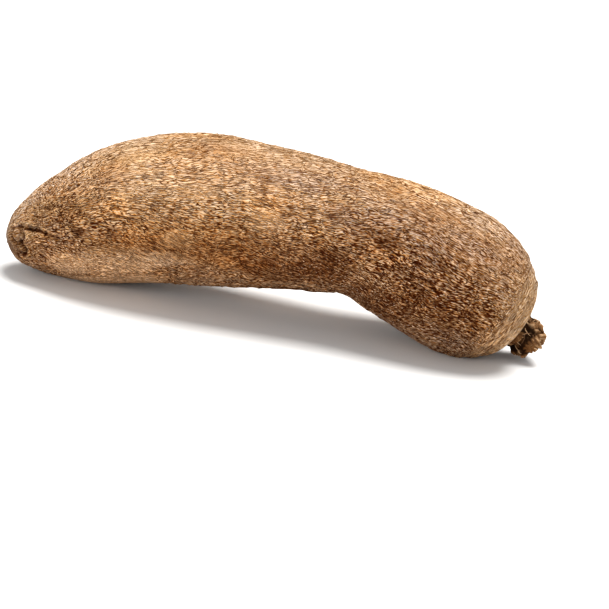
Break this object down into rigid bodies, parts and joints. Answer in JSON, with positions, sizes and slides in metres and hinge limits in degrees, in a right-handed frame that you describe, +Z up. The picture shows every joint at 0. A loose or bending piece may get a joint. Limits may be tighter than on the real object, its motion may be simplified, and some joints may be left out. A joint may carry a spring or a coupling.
{
  "type": "cassava root",
  "caption": "Whole fresh cassava root lying down: a swollen, gently arched tuber with wrinkled brown corky skin, a puckered tail and a broken woody neck.",
  "frame": {"origin": "centre of the base of the root's bounding box, on the surface that it lies on", "axes": "+X along the root from its tail to its woody neck, +Z up out of the surface, -Y the side that shows the scar on the tail"},
  "size_m": [0.2806, 0.0858, 0.0861],
  "materials": {
    "root_skin": "dry, matte, wrinkled corky bark"
  },
  "bodies": {
    "root": {"cassava_root": "root_skin"}
  },
  "joints": []
}
